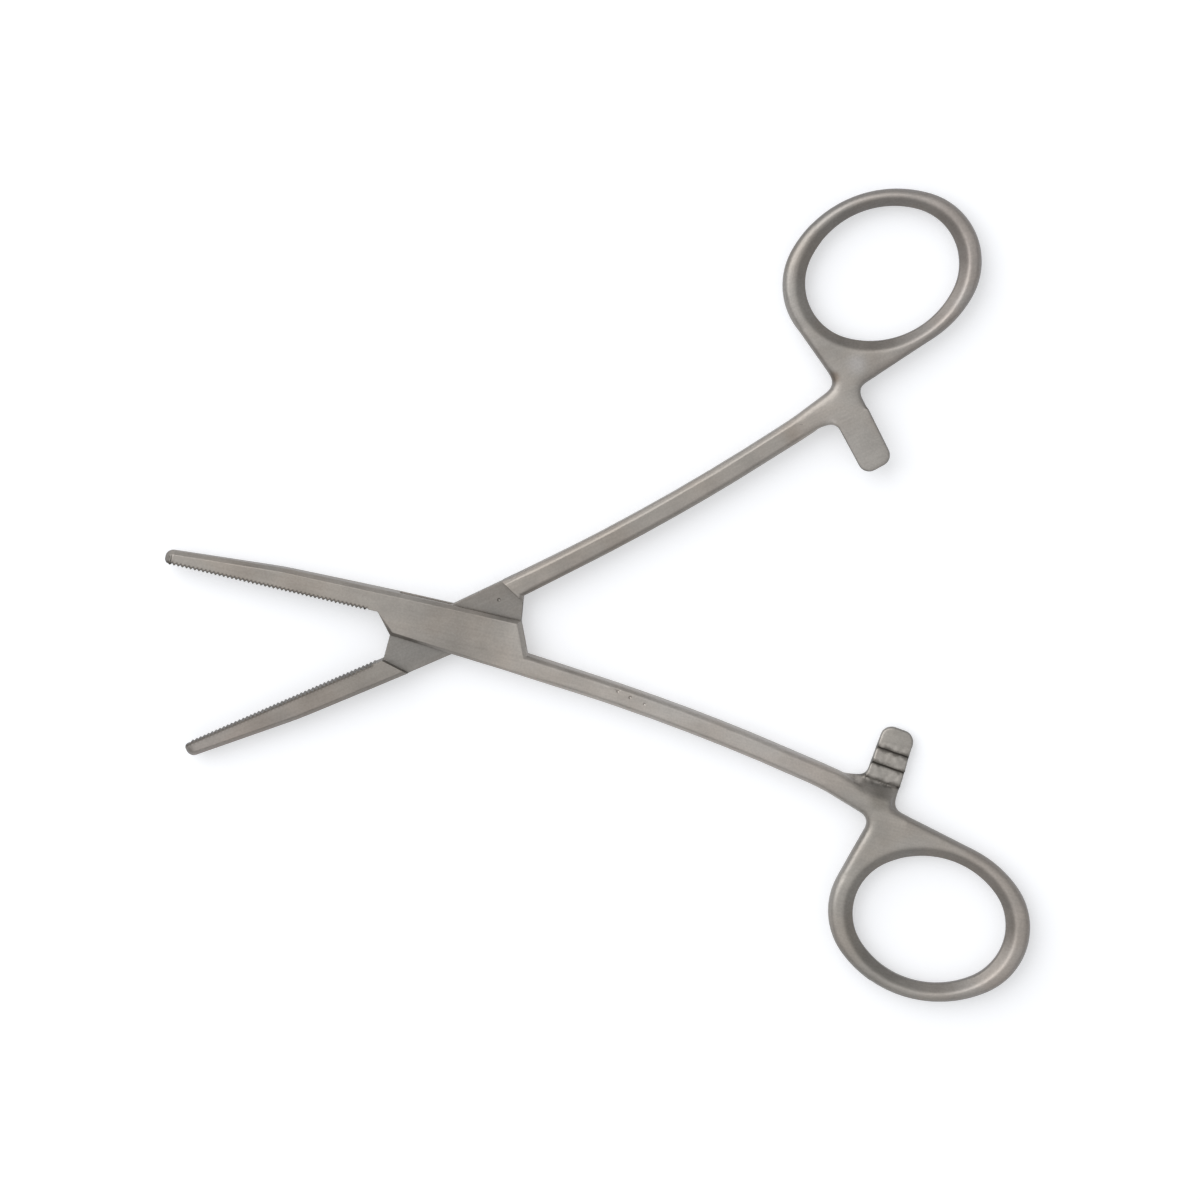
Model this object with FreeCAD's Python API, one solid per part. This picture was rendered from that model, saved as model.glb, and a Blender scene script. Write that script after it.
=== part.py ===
# Straight hemostat forceps of stainless steel with a box lock, in millimetres.
# Two forged halves cross at a flush pin. The box half carries a slot right through its joint, and the
# tongue half passes through that slot. Each half has a serrated jaw, a bowed shank, a ratchet arm and
# a finger ring. The forceps lie flat and stand part open, as the instrument lies on a table.
#
# Frame: the origin is on the pin's axis at the underside, +Z is up, and +X runs between the shanks
# towards the finger rings. A half is drawn in its own frame first: shut, with its jaw on the +Y side
# and its shank on the -Y side, and with Z counted from the mid-plane.

import FreeCAD, Part
import math
import os

V = FreeCAD.Vector

# Joint
box_thickness = 4.6         # over both plates of the box
tongue_thickness = 1.8      # tongue between the plates
slot_play = 0.05            # gap between tongue and plate, each side
nest_play = 0.08            # gap between the steps that meet when the jaws are shut
pin_radius = 1.2
pin_play = 0.04             # radial clearance of the tongue's bore on the pin
open_angle = 36.3           # degrees between the halves as they lie

# Box outline, in a half's own frame
box_front = 11.8            # pivot to the point where the jaw's face ends
box_back = 11.5             # pivot to the rear end of the box, where the shank begins
box_half_width = 3.4
front_corner_y = 3.1        # half the box's width at its front corners
front_corner = 9.3          # pivot to the front corners of the box, along X
back_corner = 9.4           # pivot to the rear corners of the box, along X

# Jaws
jaw_length = 44.9           # pivot to jaw tip
jaw_tip_width = 2.0
jaw_mid_width = 3.2         # halfway along the jaw
jaw_tip_thickness = 2.5
jaw_back_bow = 60.0         # radius of the bend halfway along the jaw's back
nose_round = 1.15           # radius of the tip, seen from above
nose_bevel = 1.1            # length of the sloped end
nose_bend = 1.5             # radius where the slope begins
nose_thickness = 1.4
nose_chamfer = 0.45         # where the tip's end meets the gripping face
jaw_play = 0.04             # gap between the shut jaws
tooth_pitch = 0.64          # of the cross serrations
tooth_depth = 0.36
serration_start = 44.2      # pivot to the first serration
serration_end = 13.2        # pivot to the last one

# Shanks
shank_thickness = 3.9       # of the shanks and the finger rings
shank_start = 12.0          # along X, where the shank's outer edge leaves the box
shank_middle = 37.0         # where the two ends of the bow, drawn on straight, would meet
shank_end = 62.0
shank_bow = 330.0           # radius of the shank's long curve
box_margin = 3.5            # flat length of the box's faces past its corners
waist_slope = 8.5           # length over which the thickness falls to the shank's
waist_round = 120.0         # radius of the bends where the thickness changes
neck_round = 12.0           # radius of the neck's inner bends, from the shank to the ring
heel = 59.0                 # along X, where the shank begins to widen into the ring

# Finger rings
ring_reach = 79.7           # pivot to the middle of a ring, along X
box_ring_out = 27.5         # pivot to the middle of the box half's ring, across
tongue_ring_out = 23.2      # and of the tongue half's
notch_reach = 67.5          # pivot to the notch between shank and ring, along X
notch_shift = 0.5           # how much nearer the tongue half's notch is
ring_hole_length = 23.5
ring_hole_width = 19.2
ring_soft_inner = 1.25      # rounding of the hole's edges, across the ring
ring_soft_outer = 1.25      # rounding of the ring's outer edges, across the ring
ring_soft_height = 1.3      # rounding of both, along the thickness
rim_flats = 5               # flats that round each of those edges
oval_squash = 0.68          # how much rounder an oval's ends are than its sides
neck_sink = 0.06            # how far the neck's edges run into the ring's metal

# Ratchet arms
arm_reach = 68.9            # pivot to the tip of an arm, along X
web_reach = 70.7            # pivot to the web between arm and ring, along X
arm_shift = 1.0             # how much nearer the tongue half's arm and web are
arm_play = 0.08             # gap between the crests of the two arms
ratchet_pitch = 2.4
ratchet_depth = 0.55
ratchet_drop = 0.14         # length of a tooth's steep face, along the arm
ratchet_teeth = 3
ratchet_lead = 3.5          # arm tip to the first tooth's steep face
arm_round = 1.7             # radius of the arm's corners
root_round = 1.3            # radius between the shank and the arm
web_round = 2.0             # radius between the arm and the ring
ramp_run = 2.4              # length over which the ground face rises from the last tooth to the shank's top
root_reach = 4.0            # how far the arm's root runs on, along X, inside the shank
root_sink = 0.6             # and how far across, on the shank's side, in each of two steps
web_sink = 2.0              # and on the ring's side
notch_round = 1.6           # radius between the shank and the ring
heel_round = 25.0           # radius of the shank's outer edge at the heel

soft_edge = 0.6             # bevel of the ground edges, apart from the rings
close = 0.02                # what counts as the same place, and as upright


class Half:
    """The sizes in which one half differs from the other, each in the half's own frame."""


box = Half()
box.shank_start_width = 3.3
box.shank_end_width = 3.1
box.shank_start_y = -3.15       # middle of the shank at shank_start
box.shank_middle_y = -5.4
box.shank_end_y = -10.05
box.heel_y = -11.4
box.notch_x = notch_reach
box.notch_y = -14.4
box.web_x = web_reach
box.web_y = -12.3
box.ring_x = ring_reach
box.ring_y = -box_ring_out
box.ring_hole_tilt = -4.5
box.ring_tilt = -3.0
box.ring_side = 2.85            # width of the ring's metal at its long sides
box.ring_end = 3.75             # and at its ends
box.arm_tip_x = arm_reach
box.arm_tip_y = -0.3
box.arm_lean = 7.0              # degrees off the half's Y axis
box.arm_width = 4.95

tongue = Half()
tongue.shank_start_width = 3.4
tongue.shank_end_width = 2.85
tongue.shank_start_y = -2.1
tongue.shank_middle_y = -3.4
tongue.shank_end_y = -7.15
tongue.heel_y = -8.7
tongue.notch_x = notch_reach - notch_shift
tongue.notch_y = -10.7
tongue.web_x = web_reach - arm_shift
tongue.web_y = -9.0
tongue.ring_x = ring_reach
tongue.ring_y = -tongue_ring_out
tongue.ring_hole_tilt = -1.5
tongue.ring_tilt = 1.5
tongue.ring_side = 2.6
tongue.ring_end = 3.4
tongue.arm_tip_x = arm_reach - arm_shift
tongue.arm_tip_y = 3.1
tongue.arm_lean = 5.0
tongue.arm_width = 4.95

half_box = box_thickness / 2
half_shank = shank_thickness / 2
far = 60.0                  # half the size of a cutting block
beyond = 15.0               # how far a cut's slanted end runs past the box's corners
spare = 2.0                 # how far a cutting block stands clear of the metal
wedge_reach = 2.0           # how many times the front edge's length its cutter is
arc_share = 0.98            # how much of a straight run the arcs at its ends may take


def corner_reach(points):
    """How far from each corner its arc begins, held within the runs on both sides."""
    count = len(points)
    spots = [V(x, y, 0) for x, y, radius in points]
    reach = []
    for i, (x, y, radius) in enumerate(points):
        if radius <= 0:
            reach.append(0)
            continue
        before = spots[i - 1] - spots[i]
        after = spots[(i + 1) % count] - spots[i]
        reach.append(radius * math.tan((math.pi - before.getAngle(after)) / 2))
    room = list(reach)
    for i in range(count):
        j = (i + 1) % count
        run = arc_share * spots[i].distanceToPoint(spots[j])
        if reach[i] + reach[j] > run:
            room[i] = min(room[i], run * reach[i] / (reach[i] + reach[j]))
            room[j] = min(room[j], run * reach[j] / (reach[i] + reach[j]))
    return spots, room


def rounded_face(points):
    """The face inside straight runs through (x, y, radius) points, with tangent arcs at the radii."""
    count = len(points)
    spots, reach = corner_reach(points)
    marks = []
    for i in range(count):
        here = spots[i]
        if reach[i] <= 0:
            marks.append((here, here, here))
            continue
        before = spots[i - 1] - here
        after = spots[(i + 1) % count] - here
        before.normalize()
        after.normalize()
        half_turn = (math.pi - before.getAngle(after)) / 2
        radius = reach[i] / math.tan(half_turn)
        bisector = before + after
        bisector.normalize()
        middle = here + bisector * (radius / math.cos(half_turn) - radius)
        marks.append((here + before * reach[i], middle, here + after * reach[i]))
    edges = []
    for i in range(count):
        first, middle, last = marks[i]
        if reach[i] > 0:
            edges.append(Part.Arc(first, middle, last).toShape())
        edges.append(Part.LineSegment(last, marks[(i + 1) % count][0]).toShape())
    return Part.Face(Part.Wire(Part.__sortEdges__(edges)))


def block(points, low, high):
    """A straight-sided block over the (x, y) points, from one height to another."""
    corners = [V(x, y, low) for x, y in points]
    return Part.Face(Part.makePolygon(corners + corners[:1])).extrude(V(0, 0, high - low))


def oval_arcs(centre, long_half, short_half, tilt):
    """Four tangent arcs that close an oval: middle, radius, first and last angle of each."""
    end_radius = short_half * (1 - oval_squash * (1 - short_half / long_half))
    end_shift = long_half - end_radius
    side_radius = (end_shift ** 2 + short_half ** 2 - end_radius ** 2) / (2 * (short_half - end_radius))
    side_shift = side_radius - short_half
    turn = math.radians(tilt)
    split = math.atan2(side_shift, end_shift)
    along = V(math.cos(turn), math.sin(turn), 0)
    across = V(-math.sin(turn), math.cos(turn), 0)
    return [
        (centre + along * end_shift, end_radius, turn - split, turn + split),
        (centre - across * side_shift, side_radius, turn + split, turn + math.pi - split),
        (centre - along * end_shift, end_radius, turn + math.pi - split, turn + math.pi + split),
        (centre + across * side_shift, side_radius, turn + math.pi + split, turn + 2 * math.pi - split),
    ]


def touch(arcs, point, side):
    """The arc of an oval, and the angle on it, where a line from the point touches. side picks one of two."""
    for number, (middle, radius, first, last) in enumerate(arcs):
        reach = point - middle
        if reach.Length <= radius:
            continue
        angle = math.atan2(reach.y, reach.x) + side * math.acos(radius / reach.Length)
        angle = first + (angle - first) % (2 * math.pi)
        if angle <= last:
            return number, angle
    raise ValueError("the point lies inside the oval")


def point_on(arcs, number, angle):
    middle, radius, first, last = arcs[number]
    return middle + V(math.cos(angle), math.sin(angle), 0) * radius


def rim_steps(out, height, reach, first, last):
    """Short flats round a quarter of a rim, about a point, from one angle to the other in degrees."""
    steps = []
    for i in range(rim_flats + 1):
        angle = math.radians(first + (last - first) * i / rim_flats)
        steps.append((out + reach * math.cos(angle), height + ring_soft_height * math.sin(angle)))
    return steps


def revolved_oval(arcs, profile):
    """A solid over an oval, from the (distance past the oval, height) points of its rim, lowest first.

    Each arc's slice is the rim revolved about the arc's own middle."""
    slices = []
    for middle, radius, first, last in arcs:
        corners = [V(0, 0, profile[0][1])]
        corners += [V(radius + out, 0, height) for out, height in profile]
        corners.append(V(0, 0, profile[-1][1]))
        face = Part.Face(Part.makePolygon(corners + corners[:1]))
        face.rotate(V(0, 0, 0), V(0, 0, 1), math.degrees(first))
        face.translate(middle)
        slices.append(face.revolve(middle, V(0, 0, 1), math.degrees(last - first)))
    return slices[0].multiFuse(slices[1:]).removeSplitter()


def ring_oval(h):
    """The outer edge of a half's finger ring."""
    long_half = ring_hole_length / 2 + h.ring_end
    short_half = ring_hole_width / 2 + h.ring_side
    return oval_arcs(V(h.ring_x, h.ring_y, 0), long_half, short_half, h.ring_tilt)


def ring_disc(h):
    """The finger ring before its hole is cut: an oval disc with a rounded rim."""
    shoulder = half_shank - ring_soft_height
    profile = rim_steps(-ring_soft_outer, -shoulder, ring_soft_outer, -90, 0)
    profile += rim_steps(-ring_soft_outer, shoulder, ring_soft_outer, 0, 90)
    return revolved_oval(ring_oval(h), profile)


def ring_hole(h):
    """The finger ring's hole, flared at both faces so that it leaves rounded edges."""
    arcs = oval_arcs(V(h.ring_x, h.ring_y, 0), ring_hole_length / 2, ring_hole_width / 2, h.ring_hole_tilt)
    shoulder = half_shank - ring_soft_height
    profile = [(ring_soft_inner, -box_thickness)]
    profile += rim_steps(ring_soft_inner, -shoulder, ring_soft_inner, 270, 180)
    profile += rim_steps(ring_soft_inner, shoulder, ring_soft_inner, 180, 90)
    profile.append((ring_soft_inner, box_thickness))
    return revolved_oval(arcs, profile)


def into_ring(h, x, y, side):
    """Where a neck edge from (x, y) ends, a little inside the ring's outer edge."""
    ring = ring_oval(h)
    spot = point_on(ring, *touch(ring, V(x, y, 0), side))
    inward = V(h.ring_x, h.ring_y, 0) - spot
    inward.normalize()
    return spot + inward * neck_sink


def arm_frame(h):
    """The ratchet arm's tip, its direction towards the shank and its direction across."""
    lean = math.radians(h.arm_lean)
    tip = V(h.arm_tip_x, h.arm_tip_y, 0)
    return tip, V(-math.sin(lean), -math.cos(lean), 0), V(math.cos(lean), -math.sin(lean), 0)


def inner_start(h):
    """Where the shank's inner edge leaves the box."""
    return V(box_back, h.shank_start_y + h.shank_start_width / 2, 0)


def plan_face(h):
    """Outline of a half seen from above, without its ring and its ratchet arm."""
    outer_end = into_ring(h, h.notch_x, h.notch_y, 1)
    inner_end = into_ring(h, h.web_x, h.web_y, -1)
    middle_width = (h.shank_start_width + h.shank_end_width) / 2
    start = inner_start(h)
    face_y = (jaw_play - tooth_depth) / 2
    points = [
        (inner_end.x, inner_end.y, 0),
        (h.web_x, h.web_y, neck_round),
        (shank_end, h.shank_end_y + h.shank_end_width / 2, neck_round),
        (shank_middle, h.shank_middle_y + middle_width / 2, shank_bow),
        (start.x, start.y, 0),
        (back_corner, box_half_width, 0),
        (-front_corner, box_half_width, 0),
        (-(jaw_length + front_corner) / 2, jaw_mid_width, jaw_back_bow),
        (-jaw_length, jaw_tip_width, nose_round),
        (-jaw_length, nose_chamfer, 0),
        (-jaw_length + nose_chamfer, face_y, 0),
        (-box_front, face_y, 0),
        (-box_front, 0, 0),
        (-front_corner, -front_corner_y, 0),
        (shank_start, h.shank_start_y - h.shank_start_width / 2, 0),
        (shank_middle, h.shank_middle_y - middle_width / 2, shank_bow),
        (heel, h.heel_y, heel_round),
        (h.notch_x, h.notch_y, notch_round),
        (outer_end.x, outer_end.y, 0),
    ]
    return rounded_face(points)


def side_prism():
    """The half's thickness along its length, drawn from the side and carried across."""
    profile = [
        (-jaw_length, nose_thickness / 2, 0),
        (-jaw_length + nose_bevel, jaw_tip_thickness / 2, nose_bend),
        (-box_front - box_margin, half_box, waist_round),
        (shank_start + box_margin, half_box, waist_round),
        (shank_start + box_margin + waist_slope, half_shank, waist_round),
        (2 * far, half_shank, 0),
    ]
    under = [(x, -z, r) for x, z, r in reversed(profile)]
    face = rounded_face(profile + under)
    face.rotate(V(0, 0, 0), V(1, 0, 0), 90)
    face.translate(V(0, far, 0))
    return face.extrude(V(0, -2 * far, 0))


def plain_half(h):
    """Jaw, box and shank as forged: the outline at its varying thickness."""
    outline = plan_face(h)
    outline.translate(V(0, 0, -box_thickness))
    return outline.extrude(V(0, 0, 2 * box_thickness)).common(side_prism()).Solids[0]


def outline_edges(solid):
    """The edges where a side wall meets the top or the underside."""
    found = []
    for edge in solid.Edges:
        middle = edge.valueAt((edge.FirstParameter + edge.LastParameter) / 2)
        upright = 0
        for face in solid.ancestorsOfType(edge, Part.Face):
            u, v = face.Surface.parameter(middle)
            if abs(face.normalAt(u, v).z) < close:
                upright += 1
        if upright == 1:
            found.append(edge)
    return found


def front_wedge():
    """Cutter for the bevel of the box's front edge, which fades out towards the gripping face."""
    tip = V(-box_front, 0, half_box)
    corner = V(-front_corner, -front_corner_y, half_box)
    along = corner - tip
    inward = V(-along.y, along.x, 0)
    inward.normalize()
    inner = tip + (along + inward * soft_edge) * wedge_reach
    lower = tip + (along - V(0, 0, soft_edge)) * wedge_reach
    outer = tip + along * wedge_reach - inward * spare + V(0, 0, spare)
    sides = [(tip, inner, lower), (tip, lower, outer), (tip, outer, inner), (inner, outer, lower)]
    return Part.Solid(Part.Shell([Part.Face(Part.makePolygon(list(side) + [side[0]])) for side in sides]))


def soften(h, solid):
    """Bevels the outline's edges, apart from the gripping face's and those inside the ring."""
    chosen = []
    for edge in outline_edges(solid):
        ends = [vertex.Point for vertex in edge.Vertexes]
        on_jaw = max(end.x for end in ends) < -box_front + close
        gripping = on_jaw and max(end.y for end in ends) < nose_chamfer + close
        at_front = max(end.x for end in ends) < -front_corner + close and max(end.y for end in ends) < close
        if not gripping and not at_front and min(end.x for end in ends) < h.web_x:
            chosen.append(edge)
    wedge = front_wedge()
    return solid.makeChamfer(soft_edge, chosen).cut([wedge, wedge.mirror(V(0, 0, 0), V(0, 0, 1))])


def forged_half(h):
    """Jaw, box, shank and ring in one, before the joint and the teeth are cut."""
    return soften(h, plain_half(h)).fuse(ring_disc(h)).removeSplitter().cut(ring_hole(h))


def offset_line(start, end, gap):
    """The run from start to end, carried on beyond both and moved to its left by the gap."""
    along = end - start
    along.normalize()
    left = V(-along.y, along.x, 0) * gap
    return start - along * beyond + left, end + along * beyond + left


def crossing_region(other):
    """Plan of the space that the other half's joint needs, in this half's own frame, shut.

    It ends at the other half's chamfered corners, mirrored over the X axis, with the nesting gap."""
    front = V(-box_front, 0, 0), V(-front_corner, front_corner_y, 0)
    start = inner_start(other)
    rear = V(back_corner, -box_half_width, 0), V(start.x, -start.y, 0)
    front_low, front_high = offset_line(front[0], front[1], nest_play)
    rear_low, rear_high = offset_line(rear[0], rear[1], -nest_play)
    return [(q.x, q.y) for q in (front_low, rear_low, rear_high, front_high)]


def serration_comb(shift):
    """Cuts the gripping face. shift, in pitches, sets one jaw's grooves over the other jaw's crests."""
    middle = jaw_play / 2
    crest = middle - tooth_depth / 2
    groove = middle + tooth_depth / 2
    points = [(-jaw_length - spare, crest - spare), (-jaw_length - spare, middle)]
    count = int((serration_start - serration_end) / tooth_pitch)
    for i in range(count + 1):
        x = -serration_start + i * tooth_pitch
        first, second = (crest, groove) if shift else (groove, crest)
        points.append((x, middle if i == 0 else first))
        if i < count:
            points.append((x + tooth_pitch / 2, second))
    points.append((x + tooth_pitch / 2, middle))
    points.append((-box_front, middle))
    points.append((-box_front, crest - spare))
    return block(points, -box_thickness, box_thickness)


def across_arm(h, points, width):
    """A prism over (distance from the arm's tip, height) points, carried across the arm."""
    tip, to_shank, across = arm_frame(h)
    corners = [V(x, 0, z) for x, z in points]
    face = Part.Face(Part.makePolygon(corners + corners[:1]))
    face.translate(V(0, -width / 2, 0))
    prism = face.extrude(V(0, width, 0))
    prism.rotate(V(0, 0, 0), V(0, 0, 1), math.degrees(math.atan2(to_shank.y, to_shank.x)))
    prism.translate(tip)
    return prism


def ratchet_teeth_block(h, level):
    """Everything above the ratchet's saw-toothed face, along the arm from its tip.

    Each tooth rises towards the shank and drops steeply, so that the other arm's teeth catch on it."""
    low = level - ratchet_depth
    first_rise = ratchet_lead - ratchet_pitch
    points = [(-far, low), (first_rise, low)]
    for i in range(ratchet_teeth):
        drop = ratchet_lead + i * ratchet_pitch
        points.append((drop, level))
        points.append((drop + ratchet_drop, low))
    points += [(far, low), (far, far), (-far, far)]
    return across_arm(h, points, far)


def root_ramp(h, level):
    """The space over the ramp where the ratchet's ground face runs out into the shank."""
    low = level - ratchet_depth
    foot = ratchet_lead + (ratchet_teeth - 1) * ratchet_pitch + ratchet_drop
    slope = (half_shank - low) / ramp_run
    points = [(foot, low), (foot + ramp_run + spare, low + slope * (ramp_run + spare))]
    points.append((foot, low + slope * (ramp_run + spare)))
    return across_arm(h, points, h.arm_width)


def ratchet_arm(h, crest):
    """The arm, a plate of the half's lower side, with the ratchet's teeth on its top.

    Its root runs into the shank's metal on both sides."""
    tip, to_shank, across = arm_frame(h)
    root_y = h.shank_end_y + h.shank_end_width / 2
    far_corner = tip + across * (h.arm_width / 2)
    near_corner = tip - across * (h.arm_width / 2)
    near_root = near_corner + to_shank * ((h.arm_tip_y - root_y) / -to_shank.y)
    points = [
        (far_corner.x, far_corner.y, arm_round),
        (near_corner.x, near_corner.y, arm_round),
        (near_root.x, near_root.y, root_round),
        (near_root.x - root_reach, near_root.y - root_sink, 0),
        (near_root.x - root_reach, near_root.y - 2 * root_sink, 0),
        (h.web_x, h.web_y - web_sink, 0),
        (h.web_x + root_reach, h.web_y - web_sink, 0),
        (h.web_x, h.web_y, web_round),
    ]
    plan = rounded_face(points)
    plan.translate(V(0, 0, -half_shank))
    arm = plan.extrude(V(0, 0, half_shank + crest))
    return arm.cut(ratchet_teeth_block(h, crest))


def with_arm(h, half):
    """A half with its ratchet arm, and with the ramp ground into its shank at the arm's root."""
    crest = -arm_play / 2
    return half.cut(root_ramp(h, crest)).fuse(ratchet_arm(h, crest)).removeSplitter()


def turned(solid, turn):
    """A half as it lies: turned about the pin, and lifted so that the underside is at zero."""
    placed = solid.copy()
    placed.rotate(V(0, 0, 0), V(0, 0, 1), turn)
    placed.translate(V(0, 0, half_box))
    return placed


def pin_blank(radius):
    return Part.makeCylinder(radius, box_thickness, V(0, 0, -half_box))


def make_box_half():
    """Slotted half: its shank lies towards -Y."""
    half = forged_half(box)
    slot_half = tongue_thickness / 2 + slot_play
    half = half.cut(block(crossing_region(tongue), -slot_half, slot_half))
    half = half.cut(serration_comb(0))
    half = with_arm(box, half)
    half = half.cut(pin_blank(pin_radius))
    return turned(half, -open_angle / 2)


def make_tongue_half():
    """Half with the tongue. It is drawn like the other and mirrored, so its shank lies towards +Y."""
    half = forged_half(tongue)
    region = crossing_region(box)
    half = half.cut(block(region, tongue_thickness / 2, box_thickness))
    half = half.cut(block(region, -box_thickness, -tongue_thickness / 2))
    half = half.cut(serration_comb(1))
    half = with_arm(tongue, half)
    half = half.cut(pin_blank(pin_radius + pin_play))
    half.rotate(V(0, 0, 0), V(1, 0, 0), 180)
    return turned(half, open_angle / 2)


def make_pivot_pin():
    return turned(pin_blank(pin_radius), 0)


def main():
    os.makedirs("parts", exist_ok=True)
    pieces = {
        "box_half": make_box_half(),
        "tongue_half": make_tongue_half(),
        "pivot_pin": make_pivot_pin(),
    }
    for name, shape in pieces.items():
        solid = shape.Solids[0]
        print(name, len(shape.Solids), shape.isValid(), round(shape.Volume, 3))
        solid.exportStep("parts/%s.step" % name)


main()
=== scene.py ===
# %% [markdown]
# # Hemostat forceps
# A pair of straight clamping forceps lies open on a white table. It is three pieces of stainless
# steel: two forged halves, one passing through the other in a box lock, and the pin that they turn
# on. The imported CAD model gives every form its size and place, so this script loads it first and
# then gives the steel its rolled edges, its finish and its wear.

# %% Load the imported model
import math

import bmesh
import bpy
from mathutils import Matrix, Vector


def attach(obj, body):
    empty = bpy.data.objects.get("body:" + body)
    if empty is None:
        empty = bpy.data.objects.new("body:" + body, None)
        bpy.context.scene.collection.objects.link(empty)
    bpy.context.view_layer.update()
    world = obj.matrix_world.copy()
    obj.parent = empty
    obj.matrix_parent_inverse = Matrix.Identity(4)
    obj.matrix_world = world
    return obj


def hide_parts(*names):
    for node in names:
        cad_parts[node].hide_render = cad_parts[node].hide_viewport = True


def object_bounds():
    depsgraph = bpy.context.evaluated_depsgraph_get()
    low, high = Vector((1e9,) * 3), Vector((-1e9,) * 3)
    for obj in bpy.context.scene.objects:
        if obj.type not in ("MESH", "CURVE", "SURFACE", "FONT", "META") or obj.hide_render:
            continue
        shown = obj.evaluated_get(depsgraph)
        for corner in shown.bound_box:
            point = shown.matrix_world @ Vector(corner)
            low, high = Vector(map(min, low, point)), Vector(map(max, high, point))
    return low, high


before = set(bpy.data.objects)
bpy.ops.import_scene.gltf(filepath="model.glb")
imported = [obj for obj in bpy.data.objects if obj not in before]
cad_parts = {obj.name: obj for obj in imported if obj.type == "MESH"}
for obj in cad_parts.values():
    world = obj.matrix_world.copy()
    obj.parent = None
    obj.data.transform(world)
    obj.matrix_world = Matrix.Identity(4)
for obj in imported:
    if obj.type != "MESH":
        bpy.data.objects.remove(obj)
cad_low, cad_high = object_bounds()
print("CAD box, mm:", [round(v * 1000, 2) for v in (*cad_low, *cad_high)])

# %% [markdown]
# Blender works in metres and the forceps are measured in millimetres, so one name turns one into
# the other. Each half is easiest to describe shut and on its own: its jaw towards -X, its shank
# towards +X and -Y. The box half lies turned one way by half the opening, the tongue half the other
# way and mirrored, so a small function gives a point's place on its own half.

# %% Millimetres, and places on a half
mm = 0.001
half_opening = math.radians(18.15)
side_of = {"box": 1, "tongue": -1}


def on_half(point, half):
    side = side_of[half]
    turned = Matrix.Rotation(side * half_opening, 3, "Z") @ point
    return turned.x / mm, side * turned.y / mm, turned.z / mm


def on_table(x, y, z, half):
    side = side_of[half]
    return Matrix.Rotation(-side * half_opening, 3, "Z") @ Vector((x, side * y, z)) * mm


# %% [markdown]
# ## The two halves and the pin
# A half is drop forged, ground flat on its jaw and box, and then tumbled, which rolls its edges
# over. The CAD mesh is loose triangles with plain bevels. Modelling it again would only risk a
# different size, so a copy is merged into one skin, its flat faces are joined up, and its sharp
# edges are selected and beveled round: widely on the shank, where the forging is soft, and narrowly
# on the box and jaw, where the grinding is crisp. The pin's ends are ground flush with the box and
# polished until their outline is gone, so the edges next to the pin stay as they are. So do those
# at the box half's corner where the jaws meet when they shut.

# %% Copy a half as one skin
box_end = 13.0  # where the ground box gives way to the forged shank, along the half
box_thickness = 4.6  # the halves' underside lies at 0
merge_within = 0.002 * mm
flat_within = math.radians(0.5)
pin_zone = 1.7  # how far from the hinge's axis the edges stay sharp
jaw_corner, corner_zone = (-13.1, -0.1), 0.6  # and how far from the corner where the jaws meet
crisp_edge = 0.1 * mm
forged_edge = 0.24 * mm
sharp_angle = math.radians(28)


def merged_copy(node, name):
    piece = bpy.data.objects.new(name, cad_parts[node].data.copy())
    bpy.context.scene.collection.objects.link(piece)
    bpy.ops.object.select_all(action="DESELECT")
    bpy.context.view_layer.objects.active = piece
    piece.select_set(True)
    bpy.ops.object.mode_set(mode="EDIT")
    bpy.ops.mesh.select_all(action="SELECT")
    bpy.ops.mesh.remove_doubles(threshold=merge_within)
    bpy.ops.mesh.dissolve_limited(angle_limit=flat_within)
    bpy.ops.mesh.select_all(action="DESELECT")
    return piece


def pick(piece, kind, wanted):
    """Selects the points or edges that pass a test, deselects the rest, and counts them."""
    bpy.ops.mesh.select_all(action="DESELECT")
    bpy.ops.mesh.select_mode(type=kind)
    shape = bmesh.from_edit_mesh(piece.data)
    count = 0
    for item in {"VERT": shape.verts, "EDGE": shape.edges, "FACE": shape.faces}[kind]:
        if wanted(item):
            item.select = True
            count += 1
    shape.select_flush_mode()
    bmesh.update_edit_mesh(piece.data)
    return count


# %% Roll the edges over
join_start = 56.0  # where the handle's own skin begins, along the half
join_near = 59.0  # the front is cut here
join_far = 60.0  # and the skin here, with a bridge between them
cap_room = 0.1  # keeps the front's cut end square


def middle(edge):
    return (edge.verts[0].co + edge.verts[1].co) / 2


def bevel_sharp(piece, wanted, width, steps):
    def sharp(edge):
        return edge.is_manifold and abs(edge.calc_face_angle(0)) > sharp_angle and wanted(edge)

    count = pick(piece, "EDGE", sharp)
    bpy.ops.mesh.bevel(offset=width, segments=steps, affect="EDGES", clamp_overlap=False)
    return count


def cut_at(reach, half, **sides):
    bpy.ops.mesh.select_all(action="SELECT")
    across = on_table(1, 0, 0, half).normalized()
    bpy.ops.mesh.bisect(plane_co=on_table(reach, 0, 0, half), plane_no=across, **sides)


def front_of(node, half):
    piece = merged_copy(node, "forged_" + node)
    cut_at(join_near, half, clear_outer=True, use_fill=True)

    def reach(edge):
        return on_half(middle(edge), half)[0]

    def clear(edge):
        off_corner = math.dist(on_half(middle(edge), half)[:2], jaw_corner) >= corner_zone
        return middle(edge).xy.length > pin_zone * mm and (half == "tongue" or off_corner)

    forged = bevel_sharp(piece, lambda e: box_end < reach(e) < join_near - cap_room, forged_edge, 3)
    ground = bevel_sharp(piece, lambda e: reach(e) <= box_end and clear(e), crisp_edge, 2)
    bpy.ops.mesh.select_all(action="SELECT")
    bpy.ops.mesh.quads_convert_to_tris()
    bpy.ops.object.mode_set(mode="OBJECT")
    print(node, "edges rolled over:", forged, "forged,", ground, "ground")
    return piece


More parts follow.
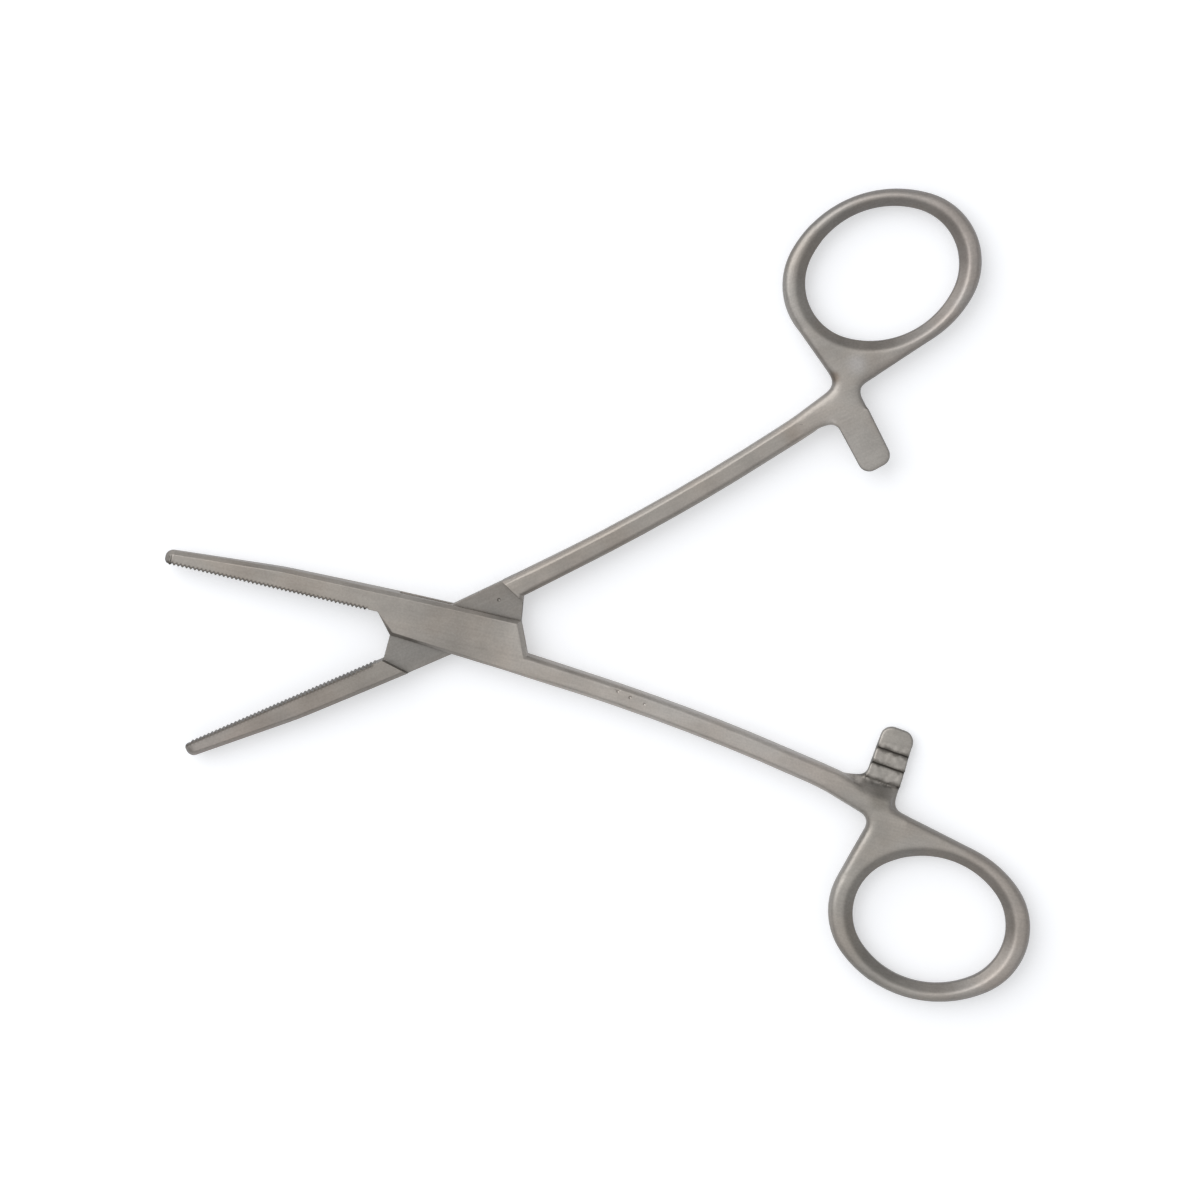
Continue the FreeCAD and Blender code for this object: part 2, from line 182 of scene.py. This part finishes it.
# %% [markdown]
# These forceps have been used. The shank of the box half has three nicks on the edge of its flat
# and the tongue has a small pit. Each is a ball taken out of the steel with a Boolean, because that
# leaves a real hollow with a sharp rim. The steel's height at each place is found by casting a ray
# straight down, so that a ball goes in by the depth given and no more.

# %% Nicks and a pit
ball_size = 0.32 * mm
ray_start = 20  # mm above the table
# Each one's place on its half, and its depth.
nicks = {
    "box": ((26.0, -3.75, 0.14), (28.0, -4.25, 0.16), (30.3, -4.75, 0.11)),
    "tongue": ((7.8, -1.3, 0.15),),
}


def area(piece):
    return sum(face.area for face in piece.data.polygons)


def dent(piece, half):
    bpy.context.view_layer.update()
    balls = []
    for x, y, depth in nicks[half]:
        found, place, normal, face = piece.ray_cast(on_table(x, y, ray_start, half), Vector((0, 0, -1)))
        bpy.ops.object.select_all(action="DESELECT")
        bpy.ops.mesh.primitive_uv_sphere_add(segments=16, ring_count=10, radius=ball_size,
                                             location=place + Vector((0, 0, ball_size - depth * mm)))
        balls.append(bpy.context.active_object)
        print("nick", (x, y), "on steel", round(place.z / mm, 2), "mm above the table")
    for ball in balls:
        hollow = piece.modifiers.new("nick", "BOOLEAN")
        hollow.operation = "DIFFERENCE"
        hollow.solver = "EXACT"
        hollow.object = ball
        bpy.context.view_layer.objects.active = piece
        before = area(piece)
        bpy.ops.object.modifier_apply(modifier="nick")
        print("nick changes the skin by", round((area(piece) - before) / mm**2, 3), "mm2")
        bpy.data.objects.remove(ball)


# %% [markdown]
# The ratchet arm is ground down to half the forging's thickness, but not all the way to its root:
# there the grinding wheel leaves a ramp that climbs to the shank's top. The arm leans a little, so
# places on it are given by the run from its tip, the way across it and the height. The tongue half's
# arm is the same turned over. The ramp and a shelf behind it are two blocks, each the hull of its
# corners, and they sink into the steel that they close.

# %% Close the arm's root with a ramp
arm_lean = {"box": math.radians(7.0), "tongue": math.radians(5.0)}
arm_tip = {"box": (68.9, -0.3), "tongue": (67.9, 3.1)}
arm_side = 2.47  # half the arm's width
ramp_foot = 8.3  # from the arm's tip to where its ground face starts to rise
ramp_top = 10.84
ramp_overhang = 1.2  # how far the ramp's top reaches along the shank, past the arm's side
ramp_corner = 0.9  # its foot rises and widens by this at the same side
shelf_run, shelf_corner = 1.3, 0.6  # from the ramp's top into the shank
ground_level, shank_top = 1.71, 4.22
sink = 0.8  # height of the blocks' underside, inside the steel


def on_arm(run, across, z, half):
    tip_x, tip_y = arm_tip[half]
    lean = arm_lean[half]
    x = tip_x + across * math.cos(lean) - run * math.sin(lean)
    y = tip_y - across * math.sin(lean) - run * math.cos(lean)
    return on_table(x, y, z if half == "box" else box_thickness - z, half)


def add_block(piece, corners):
    """Adds a closed block to the piece: the hull of its corners."""
    bpy.ops.mesh.select_all(action="DESELECT")
    shape = bmesh.from_edit_mesh(piece.data)
    for corner in corners:
        shape.verts.new(corner).select = True
    bmesh.update_edit_mesh(piece.data)
    bpy.ops.mesh.convex_hull()


def close_root(piece, half):
    left = -arm_side - ramp_overhang
    shelf_end = ramp_top + shelf_run
    ramp = ((ramp_foot, arm_side, ground_level), (ramp_top, arm_side, shank_top), (ramp_top, left, shank_top),
            (ramp_foot + ramp_corner, -arm_side - ramp_corner, ground_level + ramp_corner),
            (ramp_foot, -arm_side, ground_level))
    shelf = ((ramp_top, arm_side, shank_top), (shelf_end, arm_side - shelf_corner, shank_top),
             (shelf_end, -arm_side, shank_top), (ramp_top, left, shank_top))
    for plan in (ramp, shelf):
        add_block(piece, [on_arm(run, across, height, half) for run, across, top in plan
                          for height in (sink, top)])


# %% [markdown]
# The teeth were struck, not cut, so their edges are ragged. A Displace modifier moves the points of
# the toothed face, which a vertex group holds, by a clouds texture, and mostly into the steel, so
# that the two arms still pass each other.

# %% Make the ratchet's teeth ragged
teeth_start, teeth_end = 2.3, 8.8  # from the arm's tip
teeth_run_out = 0.4  # the ragged face goes on this far
teeth_sink = 1.2  # and lies above this height
arm_left = 3.6  # from the tip's middle to the far side of the face, with the arm's lean
ragged_size, ragged_depth = 0.9 * mm, 0.22 * mm


def roughen_teeth(piece, half):
    tip_x, tip_y = arm_tip[half]
    toothed = piece.vertex_groups.new(name="toothed")
    for point in piece.data.vertices:
        x, y, z = on_half(point.co, half)
        height = z if half == "box" else box_thickness - z
        in_teeth = tip_y - teeth_end - teeth_run_out < y < tip_y - teeth_start
        if height > teeth_sink and x > tip_x - arm_left and in_teeth:
            toothed.add([point.index], 1.0, "REPLACE")
    cast = bpy.data.textures.new("struck_teeth", "CLOUDS")
    cast.noise_scale = ragged_size
    ragged = piece.modifiers.new("ragged", "DISPLACE")
    ragged.texture = cast
    ragged.texture_coords = "LOCAL"
    ragged.vertex_group = "toothed"
    ragged.strength = ragged_depth
    ragged.mid_level = 0.8
    bpy.ops.object.modifier_apply(modifier="ragged")


# %% [markdown]
# The finger hole is flared on both faces, which shows as a broad dark band inside each ring. The
# closer a point lies to the hole's edge, the closer to the ring's middle plane it is pressed, so the
# steel slopes down to the edge.

# %% Flare the finger hole
hole_middle = {"box": Vector((79.7, -27.5)), "tongue": Vector((79.7, -23.2))}
hole_tilt = {"box": math.radians(-4.5), "tongue": math.radians(-1.5)}
hole_long, hole_short = 11.75, 9.6  # half the hole's length and width
flare_run, flare_edge = 1.5, 0.55  # the slope's width, and half the steel's height at the hole
ring_middle, ring_half = box_thickness / 2, 1.95  # height of the ring's middle, and half its thickness


def from_hole(x, y, half):
    """How far a place lies from the edge of the finger hole."""
    away = Matrix.Rotation(-hole_tilt[half], 2) @ (Vector((x, y)) - hole_middle[half])
    share = math.hypot(away.x / hole_long, away.y / hole_short)
    return away.length * (1 - 1 / share)


def flare_hole(piece, half):
    shape = bmesh.from_edit_mesh(piece.data)
    for point in shape.verts:
        x, y, z = on_half(point.co, half)
        gap = from_hole(x, y, half)
        if gap < flare_run:
            room = flare_edge + (ring_half - flare_edge) * max(gap, 0) / flare_run
            up = z - ring_middle
            point.co.z = (ring_middle + math.copysign(min(abs(up), room), up)) * mm
    bmesh.update_edit_mesh(piece.data)


# %% [markdown]
# Neck, arm and ring flow into one another on a forging, with no line where one stops and the next
# begins. That end of each half is wrapped in a fresh skin with a voxel remesh, fine enough for the
# ratchet's teeth, and its points are averaged with their neighbours. The more often that is done,
# the softer the form, so ring and neck get most and the teeth get least.

# %% Let neck, arm and ring flow together
skin = 0.18 * mm  # the remesh's voxels
lean_room = 1.1  # what the arm's lean adds to its width at the root
neck = {"box": (69.5, -14.5), "tongue": (68.5, -11.0)}
root = {"box": (67.7, -10.6), "tongue": (67.1, -7.2)}
soft_reaches = (6.0, 5.0, 4.0, 3.0)  # round the neck and the arm's root, softest in the middle
ring_from, ring_drop = 73.0, 2.5  # the ring is soft from here on, and this far below the arm's root
passes = {"all": 3, "off the teeth": 12, "neck and root": 9, "ring": 35, "flare": 8}


def smooth(piece, half, times, wanted):
    count = pick(piece, "VERT", lambda v: wanted(*on_half(v.co, half)[:2]))
    bpy.ops.mesh.vertices_smooth(factor=0.5, repeat=times)
    return count


def soften(piece, half):
    tip_x, tip_y = arm_tip[half]
    root_y = tip_y - teeth_end

    def off_the_teeth(x, y):
        return y < root_y or x < tip_x - arm_side - lean_room

    points = smooth(piece, half, passes["all"], lambda x, y: True)
    smooth(piece, half, passes["off the teeth"], off_the_teeth)
    for reach in soft_reaches:
        for spot in (neck[half], root[half]):
            smooth(piece, half, passes["neck and root"],
                   lambda x, y: off_the_teeth(x, y) and math.dist((x, y), spot) < reach)
    smooth(piece, half, passes["ring"], lambda x, y: x > ring_from and y < root_y - ring_drop)
    flare_hole(piece, half)
    smooth(piece, half, passes["flare"], lambda x, y: from_hole(x, y, half) < flare_run + 1)
    print("points in the skin of the", half, "half's handle:", points)


def handle_of(node, half):
    piece = merged_copy(node, "handle_" + node)
    cut_at(join_start, half, clear_inner=True, use_fill=True)
    close_root(piece, half)
    bpy.ops.object.mode_set(mode="OBJECT")
    wrap = piece.modifiers.new("skin", "REMESH")
    wrap.mode = "VOXEL"
    wrap.voxel_size = skin
    bpy.ops.object.modifier_apply(modifier="skin")
    roughen_teeth(piece, half)
    bpy.ops.object.mode_set(mode="EDIT")
    soften(piece, half)
    cut_at(join_far, half, clear_inner=True)
    bpy.ops.object.mode_set(mode="OBJECT")
    return piece


# %% [markdown]
# The front's cut end is closed, because a Boolean for the nicks wants a closed solid. Its cap goes
# now, which leaves two open rims a millimetre apart, and a bridge of faces joins them.

# %% Join the front and the handle
def joined(front, handle, half):
    bpy.ops.object.select_all(action="DESELECT")
    front.select_set(True)
    handle.select_set(True)
    bpy.context.view_layer.objects.active = front
    bpy.ops.object.join()
    bpy.ops.object.mode_set(mode="EDIT")
    pick(front, "FACE", lambda f: all(abs(on_half(v.co, half)[0] - join_near) < 0.01 for v in f.verts))
    bpy.ops.mesh.delete(type="FACE")
    bpy.ops.mesh.select_mode(type="EDGE")
    bpy.ops.mesh.select_all(action="DESELECT")
    bpy.ops.mesh.select_non_manifold(use_wire=False, use_multi_face=False, use_non_contiguous=False,
                                     use_verts=False)
    shape = bmesh.from_edit_mesh(front.data)
    rims = sum(edge.select for edge in shape.edges)
    bpy.ops.mesh.bridge_edge_loops()
    shape = bmesh.from_edit_mesh(front.data)
    print("edges round the joint:", rims, "and still open:", sum(e.is_boundary for e in shape.edges))
    bpy.ops.object.mode_set(mode="OBJECT")
    return front


# %% [markdown]
# The rounded edges are shaded smooth, and a Weighted Normal modifier keeps the large flats flat up
# to their rims.

# %% Finish the three pieces
crease_angle = math.radians(50)
same_flat = math.radians(0.2)


def finish_piece(piece, node, body):
    for point in piece.data.vertices:
        point.co.z = min(max(point.co.z, cad_low[2]), cad_high[2])
    bpy.ops.object.shade_smooth_by_angle(angle=crease_angle)
    shading = piece.modifiers.new("flats", "WEIGHTED_NORMAL")
    shading.keep_sharp = True
    bpy.ops.object.modifier_apply(modifier="flats")
    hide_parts(node)
    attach(piece, body)
    print(piece.name, len(piece.data.polygons), "faces")


def tidy_flats(piece):
    """Joins the triangles of each flat, so that a large flat sets the shading at its rims."""
    bpy.context.view_layer.objects.active = piece
    bpy.ops.object.mode_set(mode="EDIT")
    bpy.ops.mesh.select_all(action="SELECT")
    bpy.ops.mesh.dissolve_limited(angle_limit=same_flat)
    bpy.ops.object.mode_set(mode="OBJECT")
    piece.data.calc_loop_triangles()
    print(piece.name, "skin, mm2:", round(area(piece) / mm**2, 2), "in triangles:",
          round(sum(t.area for t in piece.data.loop_triangles) / mm**2, 2))


def make_half(node, half):
    front = front_of(node, half)
    dent(front, half)
    tidy_flats(front)
    return joined(front, handle_of(node, half), half)


box_half = make_half("box_half", "box")
finish_piece(box_half, "box_half", "box_body")
tongue_half = make_half("tongue_half", "tongue")
finish_piece(tongue_half, "tongue_half", "tongue_body")
pin = merged_copy("pivot_pin", "ground_pivot_pin")
bpy.ops.object.mode_set(mode="OBJECT")
finish_piece(pin, "pivot_pin", "box_body")

# %% [markdown]
# ## Satin stainless steel
# Surgical stainless steel with a satin finish, glass-beaded and tumbled, is a grey metal with a
# faint warm cast. It mirrors its surroundings only as a soft blur, so flats that face up are light,
# and walls and rolled edges, which mirror the dark side of the room, are darker. Colours are
# written as they are seen, and one function turns them to linear light. One small function adds a
# node, with a value or a link for each input.

# %% Colours and nodes
smooth_step = {"interpolation_type": "SMOOTHSTEP"}
product = {"operation": "MULTIPLY"}
paint = {"data_type": "RGBA"}


def linear(hex_colour):
    channels = [int(hex_colour[i : i + 2], 16) / 255 for i in (1, 3, 5)]
    return [c / 12.92 if c < 0.04045 else ((c + 0.055) / 1.055) ** 2.4 for c in channels] + [1.0]


def add(tree, kind, inputs=(), **settings):
    """Adds a node. Its inputs come by name or in order: a value is set, a node or socket is linked."""
    node = tree.nodes.new("ShaderNode" + kind)
    for name, value in settings.items():
        setattr(node, name, value)
    named = inputs if isinstance(inputs, dict) else dict(enumerate(inputs))
    for key, value in named.items():
        if isinstance(value, bpy.types.Node):
            value = value.outputs[0]
        if isinstance(value, bpy.types.NodeSocket):
            tree.links.new(value, node.inputs[key])
        else:
            node.inputs[key].default_value = value
    return node


def blank(name):
    material = bpy.data.materials.new(name)
    material.use_nodes = True
    material.node_tree.nodes.clear()
    return material


# %% [markdown]
# Each stretch of a half is a little lighter or darker, partly from its polishing and partly as painted
# light and shade for how its flats face the light, so a colour ramp runs along it from jaw to ring.
# The flats ground back beside the tongue's waist, which show as a recess on either side of the box,
# are painted darker, as painted shade in the recess, and stay so up to the box's edge.

# %% Tones along a half, and painted shade in the recess
ramp_start, ramp_end = -46.0, 96.0
recess_end = 13 * mm, 15 * mm  # from the hinge's axis, where the recess fades out
recess_blur = 0.1


def tones_along(tree, along, tones):
    reach = add(tree, "MapRange", (along, ramp_start, ramp_end))
    ramp = add(tree, "ValToRGB", (reach,))
    stops = ramp.color_ramp.elements
    for i, (x, colour) in enumerate(tones):
        position = (x - ramp_start) / (ramp_end - ramp_start)
        stop = stops[i] if i < len(stops) else stops.new(position)
        stop.position = position
        stop.color = linear(colour)
    return ramp.outputs["Color"]


def recess_painted_darker(tree, place, height, recess, colour):
    top, recess_colour = recess
    from_pin = add(tree, "VectorMath", (place.outputs["Object"],), operation="LENGTH").outputs["Value"]
    # Painted shade: the recess beside the box is painted darker.
    low_down = add(tree, "MapRange", (height, top - recess_blur, top + recess_blur, 1.0, 0.0), **smooth_step)
    close_by = add(tree, "MapRange", (from_pin, *recess_end, 1.0, 0.0), **smooth_step)
    amount = add(tree, "Math", (low_down, close_by), **product)
    return add(tree, "Mix", {0: amount, 6: colour, 7: linear(recess_colour)}, **paint).outputs[2]


# %% [markdown]
# Stains, painted shade in corners and painted light are soft round spots, each at its own place on
# the half. They are round seen from above, so the place's height is left out.

# %% Stains, painted shade and painted light
def spotted(tree, place, half, spots, colour):
    flat = add(tree, "VectorMath", (place.outputs["Object"], (1, 1, 0)), **product)
    for x, y, core, rim, spot_colour, strength in spots:
        away = add(tree, "VectorMath", (flat, on_table(x, y, 0, half)), operation="DISTANCE").outputs["Value"]
        amount = add(tree, "MapRange", (away, core * mm, rim * mm, strength, 0.0), **smooth_step)
        colour = add(tree, "Mix", {0: amount, 6: colour, 7: linear(spot_colour)}, **paint).outputs[2]
    return colour


# %% [markdown]
# The shade below a ratchet tooth's drop and in a serration's grooves is painted dark. The drops
# repeat at the ratchet's pitch down the arm, and the grooves at the serrations' pitch along the jaw,
# so Ping-Pong measures the way to the nearest one. The painted dark line at a drop wanders with a
# noise, as the struck edge does.

# %% Painted shade in the teeth and in the serrations
first_drop, ratchet_pitch = 3.57, 2.4  # from the arm's tip to the first drop, and on to the next
drop_wander = 0.18 * mm
serration = 0.64  # the grooves' pitch, counted from the pivot
serrated_to = -13.6, -13.2
teeth_shadow_colour, jaw_shade_colour = "#58544f", "#55514c"


def painted_shadow_in_teeth(tree, place, where, ragged, half, colour):
    tip = on_arm(0, 0, 0, half)
    down = (on_arm(1, 0, 0, half) - tip).normalized()
    from_tip = add(tree, "VectorMath", (place.outputs["Object"], tip), operation="SUBTRACT")
    run = add(tree, "VectorMath", (from_tip, down), operation="DOT_PRODUCT").outputs["Value"]
    wander = add(tree, "MapRange", (ragged, 0.3, 0.7, -drop_wander, drop_wander), **smooth_step)
    run = add(tree, "Math", (run, wander), operation="ADD").outputs[0]
    past_first = add(tree, "Math", (run, first_drop * mm), operation="SUBTRACT")
    from_drop = add(tree, "Math", (past_first, ratchet_pitch / 2 * mm), operation="PINGPONG")
    # Painted shadow below each tooth's drop, fading out over 0.75 mm.
    painted_shade = add(tree, "MapRange", (from_drop, 0.1 * mm, 0.75 * mm, 0.75, 0.0), **smooth_step)
    toothed_face = ((where["Y"], -9.6, -9.2), (run, 2.6 * mm, 2.8 * mm), (where["X"], 62.0, 62.4))
    for measure, outside, inside in toothed_face:
        limit = add(tree, "MapRange", (measure, outside, inside, 0.0, 1.0), **smooth_step)
        painted_shade = add(tree, "Math", (painted_shade, limit), **product)
    return add(tree, "Mix", {0: painted_shade, 6: colour, 7: linear(teeth_shadow_colour)}, **paint).outputs[2]


def painted_shade_in_jaw(tree, where, half, colour):
    # Painted shade in the serrations' grooves and along the gripping face.
    levels, strength = ((1.0, 0.0), 1.0) if half == "box" else ((0.0, 1.0), 0.5)
    serrated = add(tree, "MapRange", (where["X"], *serrated_to, 1.0, 0.0), **smooth_step)
    from_groove = add(tree, "Math", (where["X"], serration / 2), operation="PINGPONG")
    groove = add(tree, "MapRange", (from_groove, 0.08, 0.24, *levels), **smooth_step)
    at_rim = add(tree, "MapRange", (where["Y"], 0.38, 0.56, strength, 0.0), **smooth_step)
    groove = add(tree, "Math", (groove, at_rim), **product)
    face = add(tree, "MapRange", (where["Y"], 0.24, 0.34, 1.0, 0.0), **smooth_step)
    painted_shade = add(tree, "Math", (groove, face), operation="MAXIMUM")
    painted_shade = add(tree, "Math", (serrated, painted_shade), **product)
    painted_shade = add(tree, "Math", (painted_shade, 0.7), **product)
    return add(tree, "Mix", {0: painted_shade, 6: colour, 7: linear(jaw_shade_colour)}, **paint).outputs[2]


# %% [markdown]
# Clouds a few millimetres wide, fine scratches along the half and a grain make the satin lively.
# The beading's real grain is about 0.05 mm and too fine to show, so it is drawn at 0.3 mm. A ragged
# noise makes the ratchet's painted dark lines wander. Slopes are also painted darker than flats, and
# those of the rings darkest, as painted shade that follows how far the surface faces up.

# %% Polish, and painted shade by slope
patterns = {
    "clouds": ((5, 5, 5), 3.0),
    "warmth": ((9, 6, 6), 2.0),
    "scratches": ((9, 0.35, 0.35), 2.0),
    "grain": ((0.3, 0.3, 0.3), 2.0),
    "ragged": ((0.9, 0.9, 0.9), 2.0),
}  # each one's size in mm along, across and up the half, and its detail
ring_fade = 63.0, 69.0


def polish_and_painted_shade(tree, place, along, drawn):
    facing = add(tree, "SeparateXYZ", (place.outputs["Normal"],)).outputs["Z"]
    upward = add(tree, "Math", (facing,), operation="ABSOLUTE")
    # Painted shade: steep slopes are darker, and those in the rings darker still.
    steep = add(tree, "MapRange", (upward, 0.6, 0.94, 0.3, 0.0), **smooth_step)
    in_ring = add(tree, "MapRange", (along, *ring_fade, 0.0, 1.0), **smooth_step)
    painted_ring_shade = add(tree, "Math", (steep, in_ring), **product)
    shade = add(tree, "MapRange", (drawn["clouds"], 0.3, 0.7, 0.94, 1.06), **smooth_step)
    for factor in (
        add(tree, "MapRange", (drawn["scratches"], 0.3, 0.7, 0.97, 1.03), **smooth_step),
        add(tree, "MapRange", (drawn["grain"], 0.3, 0.7, 0.95, 1.05), **smooth_step),
        add(tree, "MapRange", (upward, 0.3, 0.99, 0.66, 1.0)),
        add(tree, "Math", (1.0, painted_ring_shade), operation="SUBTRACT"),
    ):
        shade = add(tree, "Math", (shade, factor), **product)
    return shade


# %% [markdown]
# A metal's colour is the colour of its mirror image. The roughness follows the clouds a little, the
# grain is also a bump of a hundredth of a millimetre, and the metal's IOR stays as it comes.

# %% Satin stainless steel
warm_tint = "#fffaf6"
rough_from, rough_to = 0.42, 0.52
grain_height = 0.012 * mm


def steel(name, half, tones, spots, recess=None, teeth=False):
    material = blank(name)
    tree = material.node_tree
    place = add(tree, "TexCoord")

    def along_half(x_size, y_size, z_size):
        scale = (x_size * mm, side_of[half] * y_size * mm, z_size * mm)
        turned = (0, 0, -side_of[half] * half_opening)
        return add(tree, "Mapping", {"Vector": place.outputs["Object"], "Rotation": turned, "Scale": scale},
                   vector_type="TEXTURE")

    where = add(tree, "SeparateXYZ", (along_half(1, 1, 1),)).outputs
    drawn = {}
    for pattern, (sizes, detail) in patterns.items():
        drawn[pattern] = add(tree, "TexNoise", {"Vector": along_half(*sizes), "Scale": 1.0, "Detail": detail})
    colour = tones_along(tree, where["X"], tones)
    if recess:
        colour = recess_painted_darker(tree, place, where["Z"], recess, colour)
    warm = add(tree, "MapRange", (drawn["warmth"], 0.35, 0.65, 0.0, 0.7), **smooth_step)
    colour = add(tree, "Mix", {0: warm, 6: colour, 7: linear(warm_tint)}, blend_type="MULTIPLY",
                 **paint).outputs[2]
    colour = spotted(tree, place, half, spots, colour)
    if teeth:
        colour = painted_shadow_in_teeth(tree, place, where, drawn["ragged"], half, colour)
    colour = painted_shade_in_jaw(tree, where, half, colour)
    shade = polish_and_painted_shade(tree, place, where["X"], drawn)
    toned = add(tree, "VectorMath", {0: colour, "Scale": shade}, operation="SCALE")
    rough = add(tree, "MapRange", (drawn["clouds"], 0.3, 0.7, rough_from, rough_to), **smooth_step)
    bump = add(tree, "Bump", {"Strength": 0.35, "Distance": grain_height, "Height": drawn["grain"]})
    shader = add(tree, "BsdfPrincipled", {"Metallic": 1.0, "Base Color": toned, "Roughness": rough,
                                          "Normal": bump})
    add(tree, "OutputMaterial", {"Surface": shader})
    return material


# %% [markdown]
# Tones are read along each half from its jaw's tip to its ring. A spot has its place on the half,
# the size of its core, where it has faded out, its colour and its strength. The jaws' tips are a
# little darker. The box half has a smudge on its box and painted shade in the corner at its arm's
# root. The tongue half has the brown stain in its notch, a fainter one on its shank, and two lighter
# spots of painted light.

# %% The three finishes
box_tones = ((-44, "#a5a09a"), (-24, "#a49f99"), (-8, "#aaa59f"), (1, "#9e9993"), (9, "#b6b1ab"),
             (24, "#c1bdb8"), (56, "#bbb6b1"), (68, "#aeaaa4"), (90, "#b5b0ab"))
tongue_tones = ((-44, "#a7a19c"), (-16, "#9b9690"), (12, "#aaa59f"), (50, "#a8a39d"), (64, "#b3afaa"),
                (72, "#a9a5a0"), (90, "#b3aeaa"))
# The box half's spot at (68.0, -11.2) is painted shade in the corner at its arm's root.
box_spots = ((4.5, -1.7, 0.3, 1.6, "#8b8680", 0.35), (68.0, -11.2, 0.4, 2.2, "#7d7972", 0.6),
             (-44.9, 0.8, 0.5, 1.8, "#75716c", 0.55))
# The tongue half's two lighter spots, #c8c8cb and #d0cbc7, are painted light.
tongue_spots = ((67.0, -12.0, 0.3, 1.4, "#69543f", 0.5), (58.0, -6.6, 0.0, 2.2, "#8b7866", 0.25),
                (71.0, -12.5, 0.0, 2.4, "#c8c8cb", 0.35), (64.0, -6.0, 0.0, 1.2, "#d0cbc7", 0.4),
                (-44.9, 0.8, 0.5, 1.8, "#75716c", 0.55))

box_steel = steel("satin_stainless_box_half", "box", box_tones, box_spots, teeth=True)
tongue_steel = steel("satin_stainless_tongue_half", "tongue", tongue_tones, tongue_spots, (3.4, "#94918d"))
pin_steel = steel("polished_stainless_pin", "box", box_tones, ())
for piece, finish in ((box_half, box_steel), (tongue_half, tongue_steel), (pin, pin_steel)):
    piece.data.materials.clear()
    piece.data.materials.append(finish)
    print(piece.name, "is finished in", finish.name)

# %% [markdown]
# ## Table, light and camera
# The table is plain white paper. A camera ray sees it a little brighter than the lamps alone make
# it, and so does a ray that the steel mirrors, so the background is white and the shadow stays.

# %% Table
bpy.ops.object.select_all(action="DESELECT")
table_size, table_middle = 3.0, Vector((0.02, 0, 0))
bpy.ops.mesh.primitive_plane_add(size=table_size, location=table_middle)
floor = bpy.context.active_object
floor.name = "white_table"
white_lift = 0.37
paper = blank("white_paper")
tree = paper.node_tree
paths = add(tree, "LightPath").outputs
seen = add(tree, "Math", (paths["Is Camera Ray"], paths["Is Glossy Ray"]), operation="MAXIMUM")
level = add(tree, "Math", (seen, white_lift), **product)
glow = add(tree, "Emission", {"Color": (1, 1, 1, 1), "Strength": level})
matt = add(tree, "BsdfDiffuse", {"Color": linear("#e6e8ec")})
both = add(tree, "AddShader", (matt, glow))
add(tree, "OutputMaterial", {"Surface": both})
floor.data.materials.append(paper)

# %% [markdown]
# The photograph has the flat, even light of a product shot: a light tent overhead, a darker room at
# the sides, and one large soft lamp at the upper left, which drops a faint shadow to the lower right.

# %% World and lamp
world = bpy.data.worlds.new("light_tent")
bpy.context.scene.world = world
world.use_nodes = True
tree = world.node_tree
side_light, top_light = 0.42, 0.68
height = add(tree, "SeparateXYZ", (add(tree, "TexCoord").outputs["Generated"],)).outputs["Z"]
tent = add(tree, "MapRange", (height, 0.2, 0.95, side_light, top_light), **smooth_step)
tree.nodes["Background"].inputs["Color"].default_value = linear("#ffffff")
tree.links.new(tent.outputs[0], tree.nodes["Background"].inputs["Strength"])
lamp_place, lamp_size, lamp_watts = Vector((-0.6, 0.65, 0.75)), 1.6, 9.4
bpy.ops.object.light_add(type="AREA", location=lamp_place)
key = bpy.context.active_object
key.data.shape = "DISK"
key.data.size = lamp_size
key.data.energy = lamp_watts
key.rotation_euler = (table_middle - lamp_place).to_track_quat("-Z", "Y").to_euler()

# %% [markdown]
# The camera stands over the table, a little above the middle of the picture, with the pivot at the
# photograph's pixel (455, 628) and 6.65 pixels to the millimetre in its 1200 x 1200 frame.

# %% Camera
turn = math.radians(5.43)  # of the forceps in the picture
pixels_per_mm = 6.65
frame_pixels = 1200
frame_width = frame_pixels / pixels_per_mm * mm
pivot_pixel = Vector((455, 628))
centre = Vector((frame_pixels / 2, frame_pixels / 2))
centre_in_image = Vector((centre.x - pivot_pixel.x, pivot_pixel.y - centre.y)) / pixels_per_mm
foot_in_image = Vector((10.0, 62.0))  # from the point looked at to the point below the camera
camera_height = 560  # both in mm


def from_image(v):
    return Matrix.Rotation(-turn, 2) @ v


aim_at = from_image(centre_in_image).to_3d() * mm + Vector((0, 0, box_thickness / 2 * mm))
stand = aim_at + from_image(foot_in_image).to_3d() * mm + Vector((0, 0, camera_height * mm))
look = (aim_at - stand).normalized()
right = look.cross(from_image(Vector((0, 1))).to_3d()).normalized()
bpy.ops.object.camera_add(location=stand)
camera = bpy.context.active_object
camera.rotation_euler = Matrix((right, right.cross(look), -look)).transposed().to_euler()
camera.data.sensor_width = 36
camera.data.lens = camera.data.sensor_width * (stand - aim_at).length / frame_width
bpy.context.scene.camera = camera
bpy.context.scene.view_settings.view_transform = "Standard"
print("camera stands", [round(v / mm) for v in stand], "mm from the pivot")
